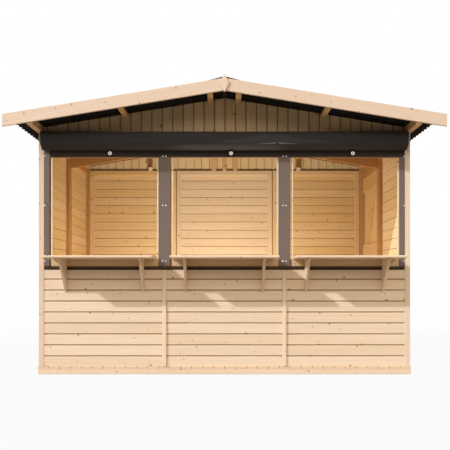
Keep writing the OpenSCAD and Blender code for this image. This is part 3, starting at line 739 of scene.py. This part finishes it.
# Above the window heads, all but the sunlit left post gets the nearly black copy: painted shade under the rolled
# cover
for point, normal in (((0, 0, SHADE_PAINT_FOOT), Z), ((post_edges[0], 0, 0), X)):
    bmesh.ops.bisect_plane(bm, geom=bm.verts[:] + bm.edges[:] + bm.faces[:], plane_co=point, plane_no=normal)
for face in bm.faces:
    middle = face.calc_center_median()
    face.material_index = int(middle.z > SHADE_PAINT_FOOT and middle.x > post_edges[0])
SILL_BACK, SILL_TOP = 9 * MM, window_low - 12 * MM
faces_before = set(bm.faces)
add_board(bm, eased(SILL_TOP - sill[0].z, sill[1].y - face_y - SILL_BACK, 0.8 * MM),
          Vector((sill[0].x, face_y + SILL_BACK, sill[0].z)), X, Z, Y, (0, sill[1].x - sill[0].x))
# The sill strip gets the nearly black copy too: painted shade under the shelves
for face in set(bm.faces) - faces_before:
    face.material_index = 1
to_object(bm, "window_facing_painted", "kiosk", [facing_paint, shade_dark_paint],
          ["window_sill_facing", "window_post_facings", "window_header_facing"])
print("windows between", [round(x, 3) for x in post_edges], "and from", round(window_low, 3), "to",
      round(window_high, 3))

# %% [markdown]
# Behind the facing, strips of bare spruce line each window and fill the frame out to the
# facing, and reach 6 mm under it. On the right side of a post a narrow gap stays open, which
# shows as a dark line.

# %% Window linings
LINING_T = sill[1].y - face_y - FACING_T
GAP, LEFT_SHOWS, RIGHT_SHOWS, HIDDEN = 10 * MM, 22 * MM, 12 * MM, 6 * MM
rail_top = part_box("shelf_left")[0].z
bm, rails = bmesh.new(), bmesh.new()
for left, right in zip(post_edges[::2], post_edges[1::2]):
    corner = Vector((0, face_y + FACING_T, 0))
    lining_top = window_high + 4 * MM
    stiles = [(left + GAP, left + LEFT_SHOWS), (right - RIGHT_SHOWS, right + HIDDEN)]
    for a, b in stiles:
        add_board(bm, eased(b - a, LINING_T, 1 * MM), corner + X * a, Z, X, Y, (rail_top, lining_top))
    add_board(rails, eased(rail_top - window_low, LINING_T, 1 * MM), corner + Z * window_low, X, Z, Y,
              (left + GAP, right + HIDDEN))
timber_piece(bm, "window_lining_strips", "kiosk", cladding_spruce, [])
# The sill rails get the darker copy too: painted shade under the shelves
timber_piece(rails, "window_sill_rails", "kiosk", shaded_gable_spruce, [])

# %% [markdown]
# ## Rolled cover
# A weather cover of coated cloth is rolled up above the windows and strapped. It is one
# sheet, wound two and a half times: flat in front, with a fold near its foot. So it is
# built as what it is, a sheet's section along a winding path, drawn out along the front.
# Its front has slow ripples and shallow creases, and its ends show the layers.

# %% Coated cloth
def coated_cloth(name, colour, high_spots):
    """Polyester cloth with a plastic coating: dark, a little silky, with a woven relief.
    The real threads are 1 mm apart, too fine to show, so the weave is drawn at 5 mm."""
    material, tree, place = start_material(name)
    threads = {"Vector": place, "Scale": 1 / (5 * MM) / math.tau * 2, "Distortion": 0.4}
    warp, weft = (add_node(tree, "ShaderNodeTexWave", threads, wave_type="BANDS", bands_direction=way)
                  for way in "XZ")
    weave = add_node(tree, "ShaderNodeMath", {0: warp.outputs["Fac"], 1: weft.outputs["Fac"]}, operation="MAXIMUM")
    stretched = add_node(tree, "ShaderNodeMapping", {"Vector": place, "Scale": (3, 20, 20)})
    creases = add_node(tree, "ShaderNodeTexNoise", {"Vector": stretched.outputs[0], "Scale": 1.0, "Detail": 4.0})
    both = add_node(tree, "ShaderNodeMath", {0: weave, 1: 0.15, 2: creases}, operation="MULTIPLY_ADD")
    return finish_material(material, creases, linear(colour), linear(high_spots),
                           {"Roughness": 0.55, "Specular IOR Level": 0.3}, (both, 0.35, 2 * MM))


cover_cloth = coated_cloth("coated polyester cloth", "#231f1c", "#302b28")

# %% Rolled cover
cover_low, cover_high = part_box("rolled_cover")
STRAPS = (-0.898, 0.052, 1.007)
FOLD_H, FOLD_D = 41 * MM, 52 * MM
CLOTH_T = 1.6 * MM
deep, foot, head = cover_high.y - cover_low.y, cover_low.z, cover_high.z
centre_d, centre_z = deep * 0.45, (foot + head) / 2
# The roll's outline as distance from the facing and height, from the top over the front and back up
ROLL = [(2 * MM, head), (0.3 * deep, head), (0.7 * deep, head), (deep - 12 * MM, head - 0.5 * MM),
        (deep - 4 * MM, head - 4 * MM), (deep - 1 * MM, head - 12 * MM), (deep, head - 30 * MM),
        (deep, (head + foot + FOLD_H) / 2), (deep, foot + FOLD_H + 10 * MM), (deep, foot + FOLD_H + 1 * MM),
        (deep - 1.5 * MM, foot + FOLD_H - 2 * MM), (deep - FOLD_D / 2, foot + FOLD_H / 2 + 1 * MM),
        (deep - FOLD_D + 3 * MM, foot + 3 * MM), (deep - FOLD_D - 4 * MM, foot), (0.2 * deep, foot),
        (4 * MM, foot + 2 * MM), (2 * MM, foot + 10 * MM), (2 * MM, centre_z), (2 * MM, head - 16 * MM)]
TURNS, LAYER_GAP = 2.45, 0.085


def winding(t):
    """The point of the roll's section after t turns, as distance from the facing and height."""
    at = (t % 1.0) * len(ROLL)
    a, b, share = ROLL[int(at) % len(ROLL)], ROLL[(int(at) + 1) % len(ROLL)], at % 1.0
    size = 1 - LAYER_GAP * t
    return tuple(c + ((1 - share) * p + share * q - c) * size for p, q, c in zip(a, b, (centre_d, centre_z)))


def thin_sheet(bm, rings):
    """Joins rings that each run along one face of a thin sheet and back along the other."""
    bridge(bm, rings)
    for ring in (rings[0], rings[-1]):
        for i in range(len(ring) // 2 - 1):
            bm.faces.new((ring[i], ring[i + 1], ring[-2 - i], ring[-1 - i]))


def drawn_in(x):
    """How far the cloth stands back at x: slow ripples, and a little more at a strap."""
    strap = sum(math.exp(-((x - s) / 0.08) ** 2) for s in STRAPS)
    ripple = 0.5 + 0.3 * math.sin(5.1 * x + 0.7) + 0.2 * math.sin(12.7 * x)
    return (0.6 * strap + 1.8 * ripple) * MM


def cloth_point(x, d, z):
    """A point of the roll at x, pulled in towards its middle by drawn_in."""
    pull = drawn_in(x) * min(1.0, d / (0.3 * deep))
    return Vector((x, cover_high.y - d + pull, z + (centre_z - z) * pull / (head - foot)))


path = [winding(i / len(ROLL)) for i in range(int(TURNS * len(ROLL)) + 1)]
inside = []
for i, (d, z) in enumerate(path):
    before, after = path[max(i - 1, 0)], path[min(i + 1, len(path) - 1)]
    run = Vector((after[0] - before[0], after[1] - before[1])).normalized()
    inside.append((d + run.y * CLOTH_T, z - run.x * CLOTH_T))
section = path + inside[::-1]
STATIONS = 100
bm = bmesh.new()
rows = []
for i in range(STATIONS + 1):
    x = cover_low.x + (cover_high.x - cover_low.x) * i / STATIONS
    rows.append([bm.verts.new(cloth_point(x, d, z)) for d, z in section])
thin_sheet(bm, rows)
cover = to_object(bm, "rolled_cover_cloth", "kiosk", [cover_cloth], ["rolled_cover"], smooth=32)
cloth_length = sum(math.dist(a, b) for a, b in zip(path, path[1:]))
print("cover", round(cover_high.x - cover_low.x, 3), "m wide and", round(cloth_length, 3), "m long, unrolled")

# %% [markdown]
# To the right of the middle, two thin flat triangles lie on the cloth's front in a pale grey. This is painted
# sunlight: a streak of sun that reaches the cloth under the bargeboards, broken in the middle by the apex plate's
# shadow.

# %% Painted sunlight on the cover
# A pale grey copy of the cloth, which is painted sunlight
sunlit_streak_cloth = coated_cloth("coated polyester cloth, painted sunlight", "#5d5652", "#6b645f")
STREAK_Z, STREAK_H, STREAK_T = 1.800, 15 * MM, 2.6 * MM
bm = bmesh.new()
for tip, peak in ((0.215, 0.404), (0.590, 0.418)):
    outline = [(tip, STREAK_Z), ((tip + 2 * peak) / 3, STREAK_Z + 0.5 * STREAK_H), (peak, STREAK_Z + STREAK_H),
               (peak + (tip - peak) * 0.06, STREAK_Z)]
    front = [bm.verts.new((x, cover_low.y + drawn_in(x) - STREAK_T * (z > STREAK_Z) - 0.2 * MM, z)) for x, z in outline]
    back = [bm.verts.new((x, cover_low.y + drawn_in(x) + 1 * MM, z)) for x, z in outline]
    bm.faces.new(front)
    bm.faces.new(back[::-1])
    bridge(bm, [front, back])
sunlit_streak = to_object(bm, "cover_painted_sunlight", "kiosk", [sunlit_streak_cloth])

# %% [markdown]
# Three straps of webbing come from behind and under the roll. Each ends in a short tail
# with a plated ring, by which the cover is buttoned when it is down. Polished plating
# mirrors the pale surroundings, so the rings shine white in the shade.

# %% Straps and rings
def turned(bm, profile, centre, axis, steps):
    """Turns a profile of radius and height, in millimetres, round an axis, as on a lathe."""
    side = axis.orthogonal().normalized()
    other = axis.cross(side)
    rows = []
    for radius, height in profile:
        turns = [math.tau * i / steps for i in range(steps if radius else 1)]
        rows.append([bm.verts.new(centre + axis * (height * MM)
                                  + (side * math.cos(a) + other * math.sin(a)) * (radius * MM)) for a in turns])
    for a, b in zip(rows, rows[1:]):
        for i in range(steps):
            j = (i + 1) % steps
            corners = list(dict.fromkeys((a[i % len(a)], a[j % len(a)], b[j % len(b)], b[i % len(b)])))
            if len(corners) > 2:
                bm.faces.new(corners)


def webbing(name, colour, high_spots):
    """Woven polypropylene webbing: matt, with ribs along the strap every 4 mm."""
    material, tree, place = start_material(name)
    ribs = add_node(tree, "ShaderNodeTexWave", {"Vector": place, "Scale": 80.0, "Distortion": 0.3},
                    wave_type="BANDS", bands_direction="X")
    ribs = ribs.outputs["Fac"]
    return finish_material(material, ribs, linear(colour), linear(high_spots), {"Roughness": 0.75},
                           (ribs, 0.4, 1 * MM))


strap_webbing = webbing("polypropylene webbing", "#26211e", "#302a26")
STRAP_W, STRAP_T = 26 * MM, 1.4 * MM
TAIL_Y, RING_Z = cover_high.y - 42 * MM, 1.740
bm = bmesh.new()
for x in STRAPS:
    line = [Vector((x, y, z)) for y, z in (
        (cover_high.y - 4 * MM, foot - 0.5 * MM), (TAIL_Y + 6 * MM, foot - 1 * MM),
        (TAIL_Y + 1.5 * MM, foot - 3 * MM), (TAIL_Y, foot - 8 * MM), (TAIL_Y, foot - 40 * MM))]
    rows = []
    for i, p in enumerate(line):
        run = (line[min(i + 1, len(line) - 1)] - line[max(i - 1, 0)]).normalized()
        outward = X.cross(run).normalized()
        if outward.y > 0.2 and outward.z < 0.5:
            outward = -outward
        rows.append([bm.verts.new(p + X * s * STRAP_W / 2 + outward * h) for s, h in
                     ((-1, 0.2 * MM), (-1, STRAP_T), (1, STRAP_T), (1, 0.2 * MM))])
    bridge(bm, rows)
    bm.faces.new(rows[0])
    bm.faces.new(rows[-1][::-1])
straps = to_object(bm, "cover_straps", "kiosk", [strap_webbing], smooth=50)


def moulded_plastic(name, colour, roughness):
    """Injection-moulded nylon: smooth, with a faint cloudiness from the mould."""
    material, tree, place = start_material(name)
    clouds = add_node(tree, "ShaderNodeTexNoise", {"Vector": place, "Scale": 120.0, "Detail": 2.0})
    cloudy = add_node(tree, "ShaderNodeMath", {0: clouds, 1: 0.15, 2: 0.92}, operation="MULTIPLY_ADD")
    mixed = add_node(tree, "ShaderNodeHueSaturation", {"Value": cloudy, "Color": linear(colour)})
    shader = add_node(tree, "ShaderNodeBsdfPrincipled", {"Base Color": mixed, "Roughness": roughness})
    add_node(tree, "ShaderNodeOutputMaterial", {"Surface": shader})
    return material


def plated_metal(name, colour, roughness, mottles):
    """A plated or galvanised metal: a metal's colour in its shine, with slight mottling."""
    material, tree, place = start_material(name)
    spangle = add_node(tree, "ShaderNodeTexVoronoi", {"Vector": place, "Scale": mottles})
    mottled = add_node(tree, "ShaderNodeMath", {0: spangle.outputs["Distance"], 1: 0.3, 2: 0.85},
                       operation="MULTIPLY_ADD")
    mixed = add_node(tree, "ShaderNodeHueSaturation", {"Value": mottled, "Color": linear(colour)})
    shader = add_node(tree, "ShaderNodeBsdfPrincipled", {
        "Base Color": mixed, "Metallic": 1.0, "Roughness": roughness})
    add_node(tree, "ShaderNodeOutputMaterial", {"Surface": shader})
    return material


nickel = plated_metal("nickel-plated brass", "#efece6", 0.3, 400.0)
zinc = plated_metal("galvanised steel", "#a9a9a6", 0.42, 90.0)
# A ring 30 mm across with an 11 mm hole and a rounded rim
RING = [(5.5, 0), (5.5, 2.5), (6.7, 4), (8.5, 4.6), (12, 4.6), (14, 3.8), (15, 2.4), (15, 0), (5.5, 0)]
bm = bmesh.new()
for x in STRAPS:
    turned(bm, RING, Vector((x, TAIL_Y - STRAP_T, RING_Z)), -Y, 28)
rings = to_object(bm, "strap_rings", "kiosk", [nickel], smooth=35)

# %% [markdown]
# ## Snap studs
# Small plated studs on the facing hold the cover when it is rolled down: pairs on the two
# posts in the middle and single ones beside the corner posts.

# %% Snap studs
# A snap fastener's socket, 11 mm across
STUD = [(5.5, 0), (5.5, 1), (4.6, 1.6), (3.4, 1.8), (3.2, 4.2), (2.6, 4.8), (0, 5)]
bm = bmesh.new()
facing_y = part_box("window_header_facing")[0].y
STUD_X, STUD_Z = (0.463, 0.488, 1.421), (1.725, 1.335, 0.895)
places = [Vector((side * x, facing_y, z)) for z in STUD_Z for x in STUD_X for side in (-1, 1)]
for place in places:
    turned(bm, STUD, place, -Y, 14)
to_object(bm, "snap_studs", "kiosk", [nickel], smooth=40)
print(len(places), "snap studs")

# %% [markdown]
# ## Roof
# The roof is black corrugated bitumen sheet, pressed from fibres: matt, slightly rough and
# 3 mm thick. Three sheets lie on each side. The edge of each laps most of a wave over its
# neighbour, which shows as a fine step, and capped nails hold the sheets on the crests over
# the purlins.

# %% Corrugated sheets
def bitumen_fibre(name, colour, dust):
    """Bitumen-soaked fibre board: black, matt, with pressed fibres some millimetres long."""
    material, tree, place = start_material(name)
    fibres = add_node(tree, "ShaderNodeTexNoise", {"Vector": place, "Scale": 220.0, "Detail": 4.0})
    worn = add_node(tree, "ShaderNodeTexNoise", {"Vector": place, "Scale": 2.5, "Detail": 3.0})
    pale = add_node(tree, "ShaderNodeMath", {0: fibres, 1: worn}, operation="MULTIPLY")
    return finish_material(material, pale, linear(colour), linear(dust),
                           {"Roughness": 0.85, "Specular IOR Level": 0.2}, (fibres, 0.5, 1 * MM))


black_sheet = bitumen_fibre("corrugated bitumen sheet", "#151311", "#35302d")
PURLIN_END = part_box("eave_purlins")[1].y
WAVES = round(2 * PURLIN_END / (69.5 * MM))
SHEET_WAVES, LAP_WAVES = 11, 0.7
PITCH = 2 * PURLIN_END / WAVES
WAVE_H, SHEET_T, SHEET_GAP = 18 * MM, 3 * MM, 12 * MM
SHEET_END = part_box("roof_sheet_right")[1].x
STEPS = 16


def on_roof(side, slope, y, height):
    """A point at a distance down the slope, a place along the ridge and a height square to the slope."""
    return Vector((side * (slope * math.cos(ROOF_ANGLE) + height * math.sin(ROOF_ANGLE)), y,
                   RIDGE_Z - slope * math.sin(ROOF_ANGLE) + height * math.cos(ROOF_ANGLE)))


def roof_side(side):
    """Three corrugated sheets, each lifted where it laps over its neighbour."""
    bm = bmesh.new()
    reach = (SHEET_END - WAVE_H * math.sin(ROOF_ANGLE)) / math.cos(ROOF_ANGLE)
    starts = [0, SHEET_WAVES, 2 * SHEET_WAVES, WAVES]
    for first, last in zip(starts, starts[1:]):
        last = min(last + LAP_WAVES, WAVES)
        count = round((last - first) * STEPS)
        line = []
        for i in range(count + 1):
            wave = first + i / STEPS
            lap = 0.0 if first == 0 else max(0.0, 1 - (wave - first) / (2 * LAP_WAVES))
            lift = (SHEET_T + 0.3 * MM) * lap ** 0.5
            line.append((-PURLIN_END + wave * PITCH, WAVE_H / 2 * (1 - math.cos(math.tau * wave)) + lift))
        line += [(y, height + SHEET_T) for y, height in line[::-1]]
        thin_sheet(bm, [[bm.verts.new(on_roof(side, slope, y, height)) for y, height in line]
                        for slope in (SHEET_GAP, reach)])
    name = "roof_sheet_right" if side > 0 else "roof_sheet_left"
    to_object(bm, name + "_corrugated", "kiosk", [black_sheet], [name], smooth=40)


roof_side(-1)
roof_side(1)
print(WAVES, "waves,", round(PITCH / MM, 1), "mm apart")

# %% Ridge cap
CAP_REACH, CAP_T, CAP_EDGE_X, CAP_EDGE_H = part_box("ridge_cap")[1].x, 2.5 * MM, 155 * MM, 57 * MM
cap_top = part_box("ridge_cap")[1].z
cap_edge = RIDGE_Z - CAP_EDGE_X * SLOPE + CAP_EDGE_H
crest_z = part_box("ridge_cap")[0].z
bm = bmesh.new()
CAP_LENGTHS, CAP_LAP = 3, 100 * MM
span = (2 * PURLIN_END + (CAP_LENGTHS - 1) * CAP_LAP) / CAP_LENGTHS
fall = (cap_top - cap_edge) / CAP_REACH
for i in range(CAP_LENGTHS):
    y0 = -PURLIN_END + i * (span - CAP_LAP)
    lift = CAP_T + 0.1 * MM if i == 1 else 0.0
    outer = [(-CAP_REACH, crest_z), (-CAP_REACH, cap_edge - 6 * MM), (-CAP_REACH + 6 * MM, cap_edge + 1 * MM),
             (-24 * MM, cap_top - 24 * MM * fall - 1 * MM), (-8 * MM, cap_top - 4.5 * MM), (0, cap_top - 3.5 * MM)]
    outer = outer + [(-x, z) for x, z in outer[-2::-1]]
    inner = [(x * (1 - CAP_T / CAP_REACH), z - CAP_T * (abs(x) < CAP_REACH - 1 * MM)) for x, z in outer]
    thin_sheet(bm, [[bm.verts.new((x, y, z + (lift if abs(x) < CAP_REACH - 1 * MM else 0)))
                     for x, z in outer + inner[::-1]] for y in (y0, y0 + span)])
to_object(bm, "ridge_cap_folded", "kiosk", [black_sheet], ["ridge_cap"], smooth=30)

# %% Roof nails
EAVE_NAIL = 22 * MM
# A nail's plastic cap: a dome 24 mm across on a flat collar
NAIL_CAP = [(12, 0), (12, 1.5), (9, 2.2), (8, 4.6), (6, 6.4), (3, 7.3), (0, 7.6)]
black_nylon = moulded_plastic("moulded nylon, black", "#241f1d", 0.5)
bm = bmesh.new()
count = 0
for side in (-1, 1):
    up = (on_roof(side, 0, 0, 1) - on_roof(side, 0, 0, 0)).normalized()
    for wave in range(0, WAVES, 2):
        for x in (PURLIN_X, HALF_W - EAVE_NAIL):
            y = -PURLIN_END + (wave + 0.5) * PITCH
            turned(bm, NAIL_CAP, on_roof(side, x / math.cos(ROOF_ANGLE), y, WAVE_H + SHEET_T), up, 12)
            count += 1
to_object(bm, "roof_nail_caps", "kiosk", [black_nylon], smooth=40)
print(count, "nail caps")

# %% [markdown]
# ## Door furniture
# Strap hinges and a bow handle, of galvanised steel. The frame's own shapes are kept, with
# their edges rounded, and each hinge part gets the screws that hold it.

# %% Door furniture
def forged(node, name, body, ease):
    """Rebuilds an iron node with slightly rounded edges."""
    to_object(soft_edged(node, ease, 35, 2), name, body, [zinc], [node], smooth=35)


forged("door_handle", "door_handle_bow", "door", 2 * MM)
forged("door_hinge_straps", "door_hinge_straps_forged", "door", 0.4 * MM)
forged("door_hinge_plates", "door_hinge_plates_forged", "kiosk", 0.4 * MM)

# A round-headed wood screw's head, 8 mm across
SCREW = [(4, 0), (3.9, 0.8), (3.2, 1.9), (2, 2.5), (0.9, 2.6), (0.8, 1.9), (0, 1.9)]
IRON_T, SCREW_IN = 3 * MM, 14 * MM
hinge_straps, hinge_plates = solids_of("door_hinge_straps"), solids_of("door_hinge_plates")
strap_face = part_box("door_boards")[1].x + IRON_T
plate_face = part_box("right_boards_front")[1].x + IRON_T
bm = bmesh.new()
for low, high in hinge_straps:
    for share in (0.08, 0.38, 0.68):
        y = low.y + share * (high.y - low.y)
        turned(bm, SCREW, Vector((strap_face, y, (low.z + high.z) / 2)), X, 12)
to_object(bm, "hinge_strap_screws", "door", [zinc], smooth=40)
bm = bmesh.new()
for low, high in hinge_plates:
    for up in (SCREW_IN, 50 * MM, 86 * MM):
        turned(bm, SCREW, Vector((plate_face, high.y - SCREW_IN, low.z + up)), X, 12)
to_object(bm, "hinge_plate_screws", "kiosk", [zinc], smooth=40)

# %% [markdown]
# ## Floor of the studio
# A plain pale floor. The camera sees most of it as white, as the photograph shows the
# ground, and what is left of its own shading keeps the object's shadow. Further off it
# turns fully white, so no horizon shows.

# %% Studio floor
paper, tree, place = start_material("matt pale paper")
far = add_node(tree, "ShaderNodeVectorMath", {0: place}, operation="LENGTH")
whiteness = add_node(tree, "ShaderNodeMapRange", {
    "Value": far.outputs["Value"], "From Min": 2.4, "From Max": 6.5, "To Min": 0.94, "To Max": 1.0},
    interpolation_type="SMOOTHSTEP")
rays = add_node(tree, "ShaderNodeLightPath")
seen = add_node(tree, "ShaderNodeMath", {0: rays.outputs["Is Camera Ray"], 1: whiteness}, operation="MULTIPLY")
matt = add_node(tree, "ShaderNodeBsdfDiffuse", {"Color": linear("#97928b")})
glow = add_node(tree, "ShaderNodeEmission", {"Color": (1, 1, 1, 1), "Strength": 1.0})
mixed = add_node(tree, "ShaderNodeMixShader", {0: seen, 1: matt, 2: glow})
add_node(tree, "ShaderNodeOutputMaterial", {"Surface": mixed})
bm = bmesh.new()
bmesh.ops.create_circle(bm, cap_ends=True, segments=96, radius=8)
mesh = bpy.data.meshes.new("studio_floor")
bm.to_mesh(mesh)
bm.free()
mesh.materials.append(paper)
ground = add_object("studio_floor", mesh)
